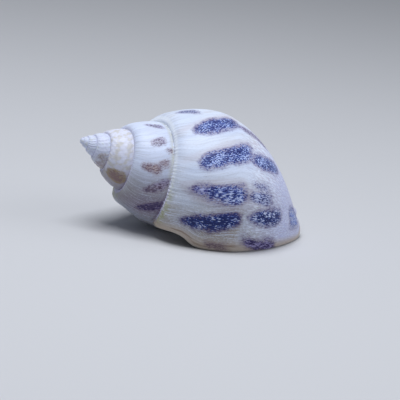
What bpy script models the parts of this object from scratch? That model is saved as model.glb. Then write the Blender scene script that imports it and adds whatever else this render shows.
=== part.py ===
"""Nassa snail shell, lying on its aperture.

A snail shell is one solid: a tube that winds round a central pillar, the columella, and grows by the same
factor each turn. So every ring of growth is a turned and shrunken copy of the lip, and the script only needs
the outline of one whorl, the growth, and the shape of the lip.

Two frames are used. The growth frame has its pole at the tip of the spire and its Z axis down the columella.
An angle about that axis counts the growth: it rises towards the lip, and a turn back is 360 less. The part's
own frame has the floor at z = 0, the spire towards -X and the siphonal end towards +X.
"""

import bmesh
import bpy
from math import atan2, cos, degrees, hypot, radians, sin
from mathutils import Matrix, Vector

MM = 0.001

# How the shell grows.
WHORL_GROWTH = 1.69  # how many times as large each turn is as the one before
FULL_SIZE_ANGLE = 90.0  # the lengths below are those of the whorl at this angle

# The outline of a whorl in a half plane through the axis: (distance from the axis, drop below the pole).
SUTURE = (13.2 * MM, 23.4 * MM)  # where the next whorl's upper edge joins on
SUTURE_LEAN = 2.0  # degrees that the outline still leans outwards there
BASE_END = (1.70 * MM, 38.7 * MM)  # where the base meets the columella
BASE_END_LEAN = -81.0  # degrees: nearly square to the axis
SHOULDER_OUT = 2.42 * MM  # Bezier handle that swells the whorl just below the suture above it
SHOULDER_ALONG = 0.20  # of the way from one suture to the next
REACH_ABOVE_SUTURE = 2.85 * MM  # the other Bezier handles of the outline
REACH_BELOW_SUTURE = 6.50 * MM
REACH_AT_BASE = 5.20 * MM

# The outer lip: its angle at each share of the outline's length, from the suture to the columella. It stands
# in the floor's plane between FLAT_FROM and FLAT_TO, and draws back beyond that, for the siphonal notch.
LIP_SHARES = (0.0, 0.12, 0.30, 0.55, 0.80, 0.91, 1.0)
LIP_ANGLES = (68.0, 49.0, 41.5, 35.0, 32.0, 24.0, 6.0)
FLAT_FROM = 0.27
FLAT_TO = 0.86
FLAT_FADE = 0.12

# How the shell lies: the way down, seen in the growth frame.
DOWN_ANGLE = 100.0  # degrees about the axis
DOWN_TILT = 17.0  # degrees that the axis dips towards the siphonal end

# The wall, the callus, and the neck by which the base runs out into the tip of the columella.
WALL = 0.95 * MM
LIP_WALL = 0.55  # of the wall, at the lip's edge
LIP_THINS_OVER = 50.0  # degrees before the lip
CALLUS = 0.35 * MM  # the glaze on the belly of the shell beside the aperture
CALLUS_OUT = 80.0  # degrees that it spreads from the aperture
CALLUS_IN = 60.0  # degrees that it runs into the aperture
TIP = 34.3 * MM  # the drop of the columella's end
TIP_RADIUS = 0.95 * MM
TIP_ROUNDING = 0.25 * MM
NECK_RADIUS = 1.95 * MM  # that the neck draws in to, above the rounded tip
NECK_SHARE = 0.70  # of the outline's length, where the base passes into the neck
NECK_GROWS_OVER = 170.0  # degrees back from the lip
NECK_FADES_OVER = 90.0  # degrees into the aperture
NECK_SLACK = 0.42  # Bezier handles of the neck, as a share of its length

# The mesh: rows are steps of growth and columns run along the outline. Row 0 is the lip.
ROWS_PER_TURN = 36
DEGREES_PER_ROW = 360 / ROWS_PER_TURN
FIRST_ROW = -238
CAVITY_ROWS = 64
SPREAD_ROWS = 12  # the rows before the lip that spread out to its shape
SPIRE_COLUMNS = 6
BASE_COLUMNS = 10
COLUMELLA_COLUMNS = 5
TIP_RINGS = 6
OUTLINE_STEPS = 120  # samples of each Bezier curve

SHELL_COLOUR = (0.72, 0.66, 0.53, 1.0)
SHELL_ROUGHNESS = 0.38


def bezier(a, b, c, d, t):
    """The point at t on the cubic curve from a to d with the handles b and c."""
    s = 1 - t
    weights = (s**3, 3 * s * s * t, 3 * s * t * t, t**3)
    return tuple(sum(w * p[axis] for w, p in zip(weights, (a, b, c, d))) for axis in (0, 1))


def smooth(x):
    """0 below 0, 1 above 1, and an even slope between."""
    x = min(1.0, max(0.0, x))
    return x * x * (3 - 2 * x)


def mix(a, b, share):
    return a + (b - a) * share


def curve_through(xs, ys, x):
    """A smooth curve through the points (xs, ys) that doesn't overshoot them."""
    slopes = [(y1 - y0) / (x1 - x0) for x0, x1, y0, y1 in zip(xs, xs[1:], ys, ys[1:])]
    tangents = [slopes[0]]
    for before, after in zip(slopes, slopes[1:]):
        same_way = before * after > 0
        tangents.append(2 * before * after / (before + after) if same_way else 0.0)
    tangents.append(slopes[-1])
    k = max(i for i in range(len(slopes)) if i == 0 or xs[i] <= x)
    width = xs[k + 1] - xs[k]
    u = (x - xs[k]) / width
    start = ys[k] * (1 + 2 * u) * (1 - u) ** 2 + tangents[k] * width * u * (1 - u) ** 2
    end = ys[k + 1] * u * u * (3 - 2 * u) - tangents[k + 1] * width * u * u * (1 - u)
    return start + end


def stepped_along(point, lean, length):
    """A point moved in the half plane, along a line that leans outwards by so many degrees."""
    return point[0] + sin(radians(lean)) * length, point[1] + cos(radians(lean)) * length


def outline_samples():
    """The outline from the suture above, over the whorl and its base, to the columella."""
    upper = (SUTURE[0] / WHORL_GROWTH, SUTURE[1] / WHORL_GROWTH)
    chord = (SUTURE[0] - upper[0], SUTURE[1] - upper[1])
    out = SHOULDER_OUT / hypot(*chord)
    shoulder = (
        upper[0] + chord[0] * SHOULDER_ALONG + chord[1] * out,
        upper[1] + chord[1] * SHOULDER_ALONG - chord[0] * out,
    )
    above = stepped_along(SUTURE, SUTURE_LEAN, -REACH_ABOVE_SUTURE)
    below = stepped_along(SUTURE, SUTURE_LEAN, REACH_BELOW_SUTURE)
    inner = stepped_along(BASE_END, BASE_END_LEAN, -REACH_AT_BASE)
    steps = [k / OUTLINE_STEPS for k in range(OUTLINE_STEPS + 1)]
    spire = [bezier(upper, shoulder, above, SUTURE, t) for t in steps]
    return spire + [bezier(SUTURE, below, inner, BASE_END, t) for t in steps[1:]]


OUTLINE = outline_samples()
LENGTHS = [0.0]
for start, end in zip(OUTLINE, OUTLINE[1:]):
    LENGTHS.append(LENGTHS[-1] + hypot(end[0] - start[0], end[1] - start[1]))
SUTURE_SHARE = LENGTHS[OUTLINE_STEPS] / LENGTHS[-1]


def outline(share):
    """The outline's point at this share of its length."""
    length = min(1.0, max(0.0, share)) * LENGTHS[-1]
    k = 0
    while k < len(LENGTHS) - 2 and LENGTHS[k + 1] < length:
        k += 1
    part = (length - LENGTHS[k]) / (LENGTHS[k + 1] - LENGTHS[k])
    return mix(OUTLINE[k][0], OUTLINE[k + 1][0], part), mix(OUTLINE[k][1], OUTLINE[k + 1][1], part)


def size(angle):
    return WHORL_GROWTH ** ((angle - FULL_SIZE_ANGLE) / 360)


def about_axis(angle, radius, drop):
    return Vector((radius * cos(radians(angle)), radius * sin(radians(angle)), drop))


def on_surface(angle, share):
    """The outside of the shell, as the growth leaves it."""
    return size(angle) * about_axis(angle, *outline(share))


def outwards(angle, share):
    """The direction square to the outside of the shell, away from it."""
    across = on_surface(angle, share + 0.004) - on_surface(angle, share - 0.004)
    growth = on_surface(angle + 0.5, share) - on_surface(angle - 0.5, share)
    return growth.cross(across).normalized()


def corner_share():
    """The share at which the cavity's upper corner sits on the whorl above, one wall below the suture."""
    share = SUTURE_SHARE
    while True:
        share += 0.002
        radius, drop = outline(share)
        here = (radius / WHORL_GROWTH, drop / WHORL_GROWTH)
        gap = min(hypot(here[0] - x, here[1] - y) for x, y in OUTLINE)
        if gap >= WALL:
            return share


def foot_share(share):
    """The share of the outline that lies nearest to this share of the whorl above."""
    radius, drop = outline(share)
    here = (radius / WHORL_GROWTH, drop / WHORL_GROWTH)
    gaps = [hypot(here[0] - x, here[1] - y) for x, y in OUTLINE]
    return LENGTHS[gaps.index(min(gaps))] / LENGTHS[-1]


CORNER_SHARE = corner_share()
CORNER_FOOT = foot_share(CORNER_SHARE)
COLUMNS = SPIRE_COLUMNS + BASE_COLUMNS
CORNER_COLUMN = SPIRE_COLUMNS + 1
INNER_COLUMNS = COLUMNS - 2


def neck_share(row):
    """The share at which the base passes into the neck: it is well up the whorl except near the lip."""
    back = -row * DEGREES_PER_ROW
    exposed = smooth(back / NECK_GROWS_OVER) * (1 - smooth((back - 360) / NECK_FADES_OVER))
    return mix(1.0, NECK_SHARE, exposed)


def column_share(row, column):
    """The columns of the outside: even steps to the suture, the cavity's corner, then even steps to the neck."""
    if column <= SPIRE_COLUMNS:
        return SUTURE_SHARE * column / SPIRE_COLUMNS
    return mix(CORNER_SHARE, neck_share(row), (column - CORNER_COLUMN) / (COLUMNS - CORNER_COLUMN))


def inner_share(column):
    """The columns of the cavity's outer wall, from the corner to the columella."""
    return mix(CORNER_FOOT, 1.0, column / INNER_COLUMNS)


DOWN = about_axis(DOWN_ANGLE, cos(radians(DOWN_TILT)), sin(radians(DOWN_TILT)))


def callus(angle, share):
    """How thick the glaze is: it is spread on the whorl that faces the aperture, and fades all round."""
    edge = LIP_ANGLES[0] - 360
    along = 1 - smooth((angle - edge) / CALLUS_OUT) if angle > edge else 1 - smooth((edge - angle) / CALLUS_IN)
    across = smooth((share - SUTURE_SHARE) / (CORNER_SHARE - SUTURE_SHARE) / 2)
    return CALLUS * along * across


def glazed(angle, share):
    return on_surface(angle, share) + outwards(angle, share) * callus(angle, share)


def belly_depth():
    """How far the shell's belly reaches down: the floor touches it there."""
    edge = LIP_ANGLES[0] - 360
    angles = [edge + step for step in range(0, 180, 2)]
    shares = [step / 100 for step in range(101)]
    return max(glazed(angle, share).dot(DOWN) for angle in angles for share in shares)


FLOOR = belly_depth()


def flat_weight(share):
    """1 where the lip lies on the floor, and 0 well away from there."""
    return smooth((share - FLAT_FROM + FLAT_FADE) / FLAT_FADE) * smooth((FLAT_TO + FLAT_FADE - share) / FLAT_FADE)


def floor_angle(share, guess):
    """The angle at which the growing lip reaches the floor."""
    low, high = guess - 45, guess + 30
    for _ in range(40):
        middle = (low + high) / 2
        if on_surface(middle, share).dot(DOWN) < FLOOR:
            low = middle
        else:
            high = middle
    return low


def lip_angle(share):
    free = curve_through(LIP_SHARES, LIP_ANGLES, share)
    weight = flat_weight(share)
    return mix(free, floor_angle(share, free), weight) if weight else free


LIP_START = lip_angle(0.0)


def row_angle(row, share):
    """The angle of a row: even steps, which spread out to the lip's shape over the last rows."""
    if row <= -SPREAD_ROWS:
        return LIP_START + row * DEGREES_PER_ROW
    spread_from = LIP_START - SPREAD_ROWS * DEGREES_PER_ROW
    return mix(spread_from, lip_angle(share), 1 + row / SPREAD_ROWS)


def wall_at(row):
    """How thick the wall is: in proportion to the whorl, and thinner towards the lip."""
    back = -row * DEGREES_PER_ROW
    return WALL * mix(1.0, LIP_WALL, smooth(1 - back / LIP_THINS_OVER)) * size(LIP_START - back)


def outside_place(row, column):
    share = column_share(row, column)
    return glazed(row_angle(row, share), share)


def inside_place(row, column):
    """The cavity's outer wall. At the lip it is set in from the edge, along the floor where the lip is flat."""
    share = inner_share(column)
    angle = row_angle(row, share)
    edge = on_surface(angle, share)
    if row < 0:
        return edge - outwards(angle, share) * wall_at(row)
    along = on_surface(row_angle(0, share + 0.004), share + 0.004) - on_surface(
        row_angle(0, share - 0.004), share - 0.004
    )
    growth = (on_surface(angle + 0.5, share) - on_surface(angle - 0.5, share)).normalized()
    facing = growth.lerp(DOWN, flat_weight(share))
    return edge + along.cross(facing).normalized() * wall_at(0)


def in_half_plane(place):
    return hypot(place.x, place.y), place.z


def outline_lean(share):
    """The outline's direction in the half plane, as a unit step."""
    before, after = outline(share - 0.01), outline(share + 0.01)
    step = (after[0] - before[0], after[1] - before[1])
    return step[0] / hypot(*step), step[1] / hypot(*step)


def neck_handle(head, end, row):
    """The Bezier handle that carries the base's outline on towards the end of the columella."""
    lean = outline_lean(neck_share(row))
    longest = max(0.0, head[0] - end[0]) / max(-lean[0], 0.05)
    reach = min(NECK_SLACK * hypot(end[0] - head[0], end[1] - head[1]), 0.7 * longest)
    return head[0] + lean[0] * reach, head[1] + lean[1] * reach


def columella_curve(row):
    """The columella inside the cavity, from the base of the whorl above to this whorl's own base."""
    head = in_half_plane(outside_place(row - ROWS_PER_TURN, COLUMNS))
    foot = in_half_plane(inside_place(row, INNER_COLUMNS))
    reach = NECK_SLACK * (foot[1] - head[1]) / foot[1]
    above_foot = (foot[0] * (1 - reach), foot[1] * (1 - reach))
    return head, neck_handle(head, foot, row - ROWS_PER_TURN), above_foot, foot


def columella_place(row, column):
    share = column / COLUMELLA_COLUMNS
    start = row_angle(row - ROWS_PER_TURN, neck_share(row - ROWS_PER_TURN)) + 360
    return about_axis(mix(row_angle(row, 1.0), start, share), *bezier(*columella_curve(row), 1 - share))


class Skin:
    """A mesh whose points have names, so that sheets which meet at an edge share its points."""

    def __init__(self):
        self.index = {}
        self.points = []
        self.faces = []

    def point(self, name, place, *where):
        if name not in self.index:
            self.index[name] = len(self.points)
            self.points.append(place(*where))
        return self.index[name]

    def outside(self, row, column):
        if column == 0 and row - ROWS_PER_TURN >= FIRST_ROW:
            return self.outside(row - ROWS_PER_TURN, SPIRE_COLUMNS)
        return self.point(("outside", row, column), outside_place, row, column)

    def inside(self, row, column):
        if column == 0:
            return self.outside(row - ROWS_PER_TURN, CORNER_COLUMN)
        return self.point(("inside", row, column), inside_place, row, column)

    def columella(self, row, column):
        if column == 0:
            return self.inside(row, INNER_COLUMNS)
        if column == COLUMELLA_COLUMNS:
            return self.outside(row - ROWS_PER_TURN, COLUMNS)
        return self.point(("columella", row, column), columella_place, row, column)

    def cavity_ring(self, row):
        """Once round the cavity: down its outer wall, up the columella and back over the whorl above."""
        ring = [self.inside(row, column) for column in range(INNER_COLUMNS)]
        ring += [self.columella(row, column) for column in range(COLUMELLA_COLUMNS)]
        return ring + [self.outside(row - ROWS_PER_TURN, column) for column in range(COLUMNS, CORNER_COLUMN, -1)]

    def strip(self, ring, other, closed=False):
        """Faces between two rows of points."""
        count = len(ring) if closed else len(ring) - 1
        for k in range(count):
            after = (k + 1) % len(ring)
            face = (ring[k], ring[after], other[after], other[k])
            self.faces.append(tuple(dict.fromkeys(face)))

    def fan(self, ring, name, place):
        """A point that closes a ring."""
        tip = self.point(name, lambda: place)
        for k, corner in enumerate(ring):
            self.faces.append((corner, ring[(k + 1) % len(ring)], tip))


def add_outside(skin):
    """The whorls of the spire, and the base of the last one."""
    for row in range(FIRST_ROW, 0):
        last = COLUMNS if row >= -ROWS_PER_TURN else SPIRE_COLUMNS
        strips = [[skin.outside(r, column) for column in range(last + 1)] for r in (row, row + 1)]
        skin.strip(*strips)


def add_apex(skin):
    """The first turn is closed by one point at the tip of the spire."""
    ring = [skin.outside(FIRST_ROW + step, 0) for step in range(ROWS_PER_TURN)]
    ring += [skin.outside(FIRST_ROW, column) for column in range(SPIRE_COLUMNS, 0, -1)]
    middle = sum((skin.points[k] for k in ring), Vector()) / len(ring)
    skin.fan(ring, "apex", Vector((0, 0, middle.z * 0.6)))


def add_cavity(skin):
    for row in range(-CAVITY_ROWS, 0):
        skin.strip(skin.cavity_ring(row + 1), skin.cavity_ring(row), closed=True)
    ring = skin.cavity_ring(-CAVITY_ROWS)
    middle = sum((skin.points[k] for k in ring), Vector()) / len(ring)
    skin.fan(ring, "cavity end", middle)


def add_lip_edge(skin):
    """The edge of the lip, from the outside of the wall to the inside."""
    outer = [skin.outside(0, column) for column in range(COLUMNS + 1)]
    inner = [skin.inside(0, column) for column in range(INNER_COLUMNS + 1)]
    k = j = 0
    while k < len(outer) - 1 or j < len(inner) - 1:
        outer_next = column_share(0, k + 1) if k < len(outer) - 1 else 2.0
        inner_next = inner_share(j + 1) if j < len(inner) - 1 else 2.0
        if outer_next <= inner_next:
            skin.faces.append((outer[k], outer[k + 1], inner[j]))
            k += 1
        else:
            skin.faces.append((outer[k], inner[j + 1], inner[j]))
            j += 1


def tip_edge(skin):
    """The edge that the neck grows from: points with their places and Bezier handles in the half plane."""
    edge = []
    end = (NECK_RADIUS, TIP)
    for row in range(-ROWS_PER_TURN, 1):
        point = skin.outside(row, COLUMNS)
        head = in_half_plane(skin.points[point])
        edge.append((point, head, neck_handle(head, end, row)))
    curve = columella_curve(0)
    for column in range(COLUMELLA_COLUMNS):
        point = skin.columella(0, column)
        head = in_half_plane(skin.points[point])
        share = 1 - column / COLUMELLA_COLUMNS
        ahead = bezier(*curve, share + 0.01)
        behind = bezier(*curve, share - 0.01)
        lean = ((ahead[0] - behind[0]), (ahead[1] - behind[1]))
        reach = NECK_SLACK * hypot(end[0] - head[0], end[1] - head[1]) / hypot(*lean)
        edge.append((point, head, (head[0] + lean[0] * reach, head[1] + lean[1] * reach)))
    return edge


def add_tip(skin):
    """The neck: rings round the columella, from the base and the aperture's inner edge to a rounded tip."""
    edge = tip_edge(skin)
    turns = [degrees(atan2(skin.points[point].y, skin.points[point].x)) for point, _, _ in edge]
    ring = [point for point, _, _ in edge]
    for step in range(1, TIP_RINGS + 1):
        share = step / TIP_RINGS
        lower = []
        for k, (point, head, handle) in enumerate(edge):
            turn = (turns[k] - turns[0] + 0.5) % 360 - 0.5
            angle = turns[0] + mix(turn, 360 * k / len(edge), share)
            above_tip = (NECK_RADIUS, TIP - NECK_SLACK * (TIP - head[1]))
            radius, drop = bezier(head, handle, above_tip, (TIP_RADIUS, TIP), share)
            lower.append(skin.point(("tip", step, k), about_axis, angle, radius, drop))
        skin.strip(ring, lower, closed=True)
        ring = lower
    skin.fan(ring, "tip end", Vector((0, 0, TIP + TIP_ROUNDING)))


def part_frame():
    """The turn from the growth frame to the part's own: down is -Z, and the columella points to +X."""
    up = -DOWN
    along = (Vector((0, 0, 1)) - up * up.z).normalized()
    return Matrix((along, up.cross(along), up))


def shell_material():
    material = bpy.data.materials.new("shell")
    material.use_nodes = True
    surface = material.node_tree.nodes["Principled BSDF"]
    surface.inputs["Base Color"].default_value = SHELL_COLOUR
    surface.inputs["Roughness"].default_value = SHELL_ROUGHNESS
    surface.inputs["Metallic"].default_value = 0.0
    return material


def turn_faces_out(mesh):
    work = bmesh.new()
    work.from_mesh(mesh)
    bmesh.ops.recalc_face_normals(work, faces=work.faces)
    work.to_mesh(mesh)
    work.free()


def make_shell():
    skin = Skin()
    add_outside(skin)
    add_apex(skin)
    add_cavity(skin)
    add_lip_edge(skin)
    add_tip(skin)
    turn = part_frame()
    places = [turn @ point for point in skin.points]
    middle = [(min(p[axis] for p in places) + max(p[axis] for p in places)) / 2 for axis in (0, 1)]
    origin = Vector((middle[0], middle[1], -FLOOR))
    mesh = bpy.data.meshes.new("shell")
    mesh.from_pydata([place - origin for place in places], [], skin.faces)
    turn_faces_out(mesh)
    mesh.materials.append(shell_material())
    mesh.shade_smooth()
    shell = bpy.data.objects.new("shell", mesh)
    bpy.context.scene.collection.objects.link(shell)
    return shell


for thing in list(bpy.data.objects):
    bpy.data.objects.remove(thing)
make_shell()
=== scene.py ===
# %% [markdown]
# # A nassa snail shell
#
# A snail shell is one tube that winds round a pillar and grows by the same factor with every turn. The
# solid model already holds its main shape. This lesson dresses it: a finer skin with growth lines, beaded
# sutures and a rounded lip takes the solid's place, and one painted glaze gives it the pale ground and the
# dark blotches.
#
# Lengths are in metres. The floor is z = 0, the spire points to -X and the siphonal end to +X.

# %% Load the solid model
from functools import reduce
from math import cos, radians, sin

import bpy
import numpy as np
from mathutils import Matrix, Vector


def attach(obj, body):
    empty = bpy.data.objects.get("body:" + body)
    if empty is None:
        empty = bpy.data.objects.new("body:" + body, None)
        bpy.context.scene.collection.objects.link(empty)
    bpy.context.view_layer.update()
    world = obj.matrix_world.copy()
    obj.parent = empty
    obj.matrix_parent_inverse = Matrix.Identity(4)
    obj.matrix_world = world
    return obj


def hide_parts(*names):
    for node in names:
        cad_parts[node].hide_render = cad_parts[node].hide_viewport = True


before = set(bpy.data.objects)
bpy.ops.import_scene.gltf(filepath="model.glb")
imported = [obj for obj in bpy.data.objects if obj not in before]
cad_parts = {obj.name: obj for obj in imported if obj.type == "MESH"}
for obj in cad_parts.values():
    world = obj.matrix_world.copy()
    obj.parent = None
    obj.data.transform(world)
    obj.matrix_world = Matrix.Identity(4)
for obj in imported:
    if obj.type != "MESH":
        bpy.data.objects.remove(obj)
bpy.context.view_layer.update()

MM = 0.001
print("nodes:", sorted(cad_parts))

# %% [markdown]
# ## Short helpers for nodes
#
# Trees of nodes paint the surroundings and both materials. These helpers add to whichever tree is current,
# and they take a number, a colour or the output of another node alike.

# %% Helpers for nodes
def fill(made, inputs):
    """Sets the node's inputs to numbers or colours, or links them to the outputs of other nodes."""
    for key, value in inputs.items():
        socket = made.inputs[key]
        if isinstance(value, bpy.types.NodeSocket):
            tree.links.new(value, socket)
        else:
            socket.default_value = (*value, 1.0) if socket.type == "RGBA" else value
    return made


def node(kind, inputs=None, **settings):
    """A new node in the current tree."""
    made = tree.nodes.new(kind)
    for key, value in settings.items():
        setattr(made, key, value)
    return fill(made, inputs or {})


def maths(way, a, b, clamp=False):
    return node("ShaderNodeMath", {0: a, 1: b}, operation=way, use_clamp=clamp).outputs[0]


def plus(*terms):
    return reduce(lambda a, b: maths("ADD", a, b), terms)


def minus(a, b):
    return maths("SUBTRACT", a, b)


def times(*factors):
    return reduce(lambda a, b: maths("MULTIPLY", a, b), factors)


def ramp(value, low, high):
    """0 where the value is at or below low, 1 at or above high, and an even slope between."""
    ends = {"Value": value, "From Min": low, "From Max": high}
    return node("ShaderNodeMapRange", ends, interpolation_type="SMOOTHSTEP").outputs[0]


def blend(mask, under, above):
    """One colour over another by a mask."""
    return node("ShaderNodeMix", {0: mask, 6: under, 7: above}, data_type="RGBA").outputs[2]


def tinted(ground, *tints):
    """The ground under one tint after another, each a colour and the masks and strengths it shows by."""
    for colour, *masks in tints:
        ground = blend(times(*masks), ground, colour)
    return ground


print("helpers for nodes are ready")

# %% [markdown]
# ## The camera, the lamps and the floor
#
# A small thing is best lit by lamps that are large beside it, because their shadows are soft. One wide lamp
# hangs over the shell and a weaker one stands to the side; the world fills the rest. The camera stands off
# with a long lens, so that the shell isn't distorted, and is rolled a little, as a hand-held camera is.
# Behind the floor the camera and the reflections see a plain backdrop, which lights nothing else.

# %% A camera with a long lens
CAMERA_PLACE = Vector((-74.34, -223.37, 71.35)) * MM
CAMERA_VIEW = Vector((0.3091, 0.9111, -0.2725))
CAMERA_ROLL = 6.56  # degrees
LENS = 157.98  # mm, on a sensor 36 mm wide

camera_data = bpy.data.cameras.new("camera")
camera_data.lens = LENS
camera_data.sensor_width = 36.0
camera_data.clip_start = 0.01
camera_data.clip_end = 20.0
camera = bpy.data.objects.new("camera", camera_data)
bpy.context.scene.collection.objects.link(camera)
camera.location = CAMERA_PLACE
camera.rotation_euler = CAMERA_VIEW.to_track_quat("-Z", "Y").to_euler()
camera.rotation_euler.rotate_axis("Z", radians(CAMERA_ROLL))
bpy.context.scene.camera = camera
bpy.context.scene.view_settings.view_transform = "Standard"
print("camera at, mm:", [round(v / MM, 1) for v in camera.location])

# %% Two soft lamps
SHELL_MIDDLE = Vector((0.0, 0.0, 8.0)) * MM
LAMP_TINT = (0.95, 0.97, 1.0)


def soft_lamp(name, place, width, watts):
    """A square lamp that faces the middle of the shell."""
    data = bpy.data.lights.new(name, "AREA")
    data.size = width
    data.energy = watts
    data.color = LAMP_TINT
    lamp = bpy.data.objects.new(name, data)
    bpy.context.scene.collection.objects.link(lamp)
    lamp.location = place
    lamp.rotation_euler = (SHELL_MIDDLE - place).to_track_quat("-Z", "Y").to_euler()


soft_lamp("overhead lamp", place=Vector((-0.04, -0.03, 0.27)), width=0.15, watts=0.70)
soft_lamp("side lamp", place=Vector((0.26, -0.10, 0.16)), width=0.20, watts=0.23)

# %% A plain pale floor and surroundings
FLOOR_SIZE = 6.0
FLOOR_COLOUR = (0.58, 0.59, 0.62)
WORLD_COLOUR = (0.82, 0.87, 0.96)
WORLD_FILL = 0.19
BACKDROP = (0.72, 0.74, 0.77)

bpy.ops.mesh.primitive_plane_add(size=FLOOR_SIZE, location=(0, 0, 0))
floor = bpy.context.object
floor.name = "floor"
floor_material = bpy.data.materials.new("pale floor")
floor_material.use_nodes = True
floor.data.materials.append(floor_material)
tree = floor_material.node_tree
floor_paint = {"Base Color": FLOOR_COLOUR, "Roughness": 0.9, "Specular IOR Level": 0.1}
fill(tree.nodes["Principled BSDF"], floor_paint)

world = bpy.data.worlds.new("soft room")
bpy.context.scene.world = world
world.use_nodes = True
tree = world.node_tree
fill_light = fill(tree.nodes["Background"], {"Color": WORLD_COLOUR, "Strength": WORLD_FILL})
backdrop = node("ShaderNodeBackground", {"Color": BACKDROP, "Strength": 1.0})
rays = node("ShaderNodeLightPath").outputs
seen = maths("MAXIMUM", rays["Is Camera Ray"], rays["Is Glossy Ray"])
seen = maths("MAXIMUM", seen, rays["Is Transmission Ray"])
choice = node("ShaderNodeMixShader", {0: seen, 1: fill_light.outputs[0], 2: backdrop.outputs[0]})
fill(tree.nodes["World Output"], {"Surface": choice.outputs[0]})
print("floor and world ready")

# %% [markdown]
# ## The growth of the shell
#
# Every ring of growth is a turned and shrunken copy of the one after it. So a point of the skin has two
# numbers: the angle round the axis, which counts the growth and rises towards the lip, and the share of the
# whorl's outline, from the suture above it (0) over the suture below to the pillar (1). A spin with a
# growing radius is not among the modelling operators, so the sheets below start as grids and are wound up
# by these two numbers. The lengths are the solid's own.

# %% The outline of one whorl
GROWTH = 1.69  # times larger with each turn
FULL_SIZE_ANGLE = 90.0
SUTURE = np.array((13.2, 23.4)) * MM  # (distance from the axis, drop below the tip of the spire)
SUTURE_LEAN = 2.0
BASE_END = np.array((1.7, 38.7)) * MM
BASE_END_LEAN = -81.0
SHOULDER_OUT = 2.42 * MM
SHOULDER_ALONG = 0.2
REACH_ABOVE_SUTURE = 2.85 * MM
REACH_BELOW_SUTURE = 6.5 * MM
REACH_AT_BASE = 5.2 * MM
CURVE_STEPS = 500


def bezier(a, b, c, d, t):
    """Points at t on the cubic curve from a to d with the handles b and c."""
    t = np.asarray(t)[..., None]
    s = 1 - t
    return s**3 * a + 3 * s * s * t * b + 3 * s * t * t * c + t**3 * d


def lean_step(lean):
    """A unit step in the half plane that leans outwards by so many degrees."""
    return np.array((sin(radians(lean)), cos(radians(lean))))


upper = SUTURE / GROWTH
chord = SUTURE - upper
square = np.array((chord[1], -chord[0])) / np.hypot(*chord)
shoulder = upper + chord * SHOULDER_ALONG + square * SHOULDER_OUT
steps = np.linspace(0, 1, CURVE_STEPS + 1)
spire_curve = bezier(upper, shoulder, SUTURE - lean_step(SUTURE_LEAN) * REACH_ABOVE_SUTURE, SUTURE, steps)
below_suture = SUTURE + lean_step(SUTURE_LEAN) * REACH_BELOW_SUTURE
above_base = BASE_END - lean_step(BASE_END_LEAN) * REACH_AT_BASE
base_curve = bezier(SUTURE, below_suture, above_base, BASE_END, steps)
OUTLINE = np.vstack([spire_curve, base_curve[1:]])
LENGTHS = np.concatenate([[0], np.hypot(*np.diff(OUTLINE, axis=0).T).cumsum()])
OUTLINE_LENGTH = LENGTHS[-1]
SHARES = LENGTHS / OUTLINE_LENGTH
SUTURE_SHARE = SHARES[CURVE_STEPS]
print(f"outline: {OUTLINE_LENGTH / MM:.2f} mm, suture at share {SUTURE_SHARE:.4f}")


# %% Points of the skin from angle and share
def smooth(x):
    """0 below 0, 1 above 1, and an even slope between."""
    x = np.clip(x, 0, 1)
    return x * x * (3 - 2 * x)


def mix(a, b, share):
    return a + (b - a) * share


def size(angle):
    return GROWTH ** ((angle - FULL_SIZE_ANGLE) / 360)


def outline(share):
    return np.interp(share, SHARES, OUTLINE[:, 0]), np.interp(share, SHARES, OUTLINE[:, 1])


def about_axis(angle, radius, drop):
    angle = np.radians(angle)
    return np.stack(np.broadcast_arrays(radius * np.cos(angle), radius * np.sin(angle), drop), -1)


def on_surface(angle, share):
    radius, drop = outline(share)
    return size(angle)[..., None] * about_axis(angle, radius, drop)


def unit(vectors):
    return vectors / np.linalg.norm(vectors, axis=-1, keepdims=True)


NEARBY = 0.004  # a step of the share, to find a direction from the points on both sides
NEARBY_ANGLE = 0.5


def growth_way(angle, share):
    return on_surface(angle + NEARBY_ANGLE, share) - on_surface(angle - NEARBY_ANGLE, share)


def outwards(angle, share):
    """The direction square to the skin, away from it."""
    across = on_surface(angle, share + NEARBY) - on_surface(angle, share - NEARBY)
    return unit(np.cross(growth_way(angle, share), across))


print(f"one turn before full size, the whorl is {size(FULL_SIZE_ANGLE - 360):.3f} of it")

# %% [markdown]
# ## The lip, the floor and the thickness
#
# The outer lip isn't a straight cut across the tube: it leans back towards the siphonal end, and where the
# shell lies on the floor it is flat. The solid found those angles, and the skin finds them again from the
# same values. Beside the opening the animal spreads a thin glaze, the callus, over the whorl before.

# %% The shape of the lip
LIP_SHARES = (0.0, 0.12, 0.3, 0.55, 0.8, 0.91, 1.0)
LIP_ANGLES = (68.0, 49.0, 41.5, 35.0, 32.0, 24.0, 6.0)
LIP_START = LIP_ANGLES[0]
FLAT_FROM = 0.27  # the lip's edge is flat between these shares
FLAT_TO = 0.86
FLAT_FADE = 0.12
DOWN_ANGLE = 100.0  # the side of the shell that the floor touches
DOWN_TILT = 17.0
WALL = 0.95 * MM
LIP_WALL = 0.55  # of the wall is left at the lip
LIP_THINS_OVER = 50.0
DOWN = about_axis(np.array(DOWN_ANGLE), cos(radians(DOWN_TILT)), sin(radians(DOWN_TILT)))


def curve_through(xs, ys, x):
    """A smooth curve through the points (xs, ys) that doesn't overshoot them."""
    xs, ys = np.array(xs), np.array(ys)
    widths, slopes = np.diff(xs), np.diff(ys) / np.diff(xs)
    before, after = slopes[:-1], slopes[1:]
    inner = np.where(before * after > 0, 2 * before * after / (before + after), 0.0)
    tangents = np.concatenate([slopes[:1], inner, slopes[-1:]])
    k = np.clip(np.searchsorted(xs, x, side="right") - 1, 0, len(slopes) - 1)
    u = (x - xs[k]) / widths[k]
    start = ys[k] * (1 + 2 * u) * (1 - u) ** 2 + tangents[k] * widths[k] * u * (1 - u) ** 2
    return start + ys[k + 1] * u * u * (3 - 2 * u) - tangents[k + 1] * widths[k] * u * u * (1 - u)


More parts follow.
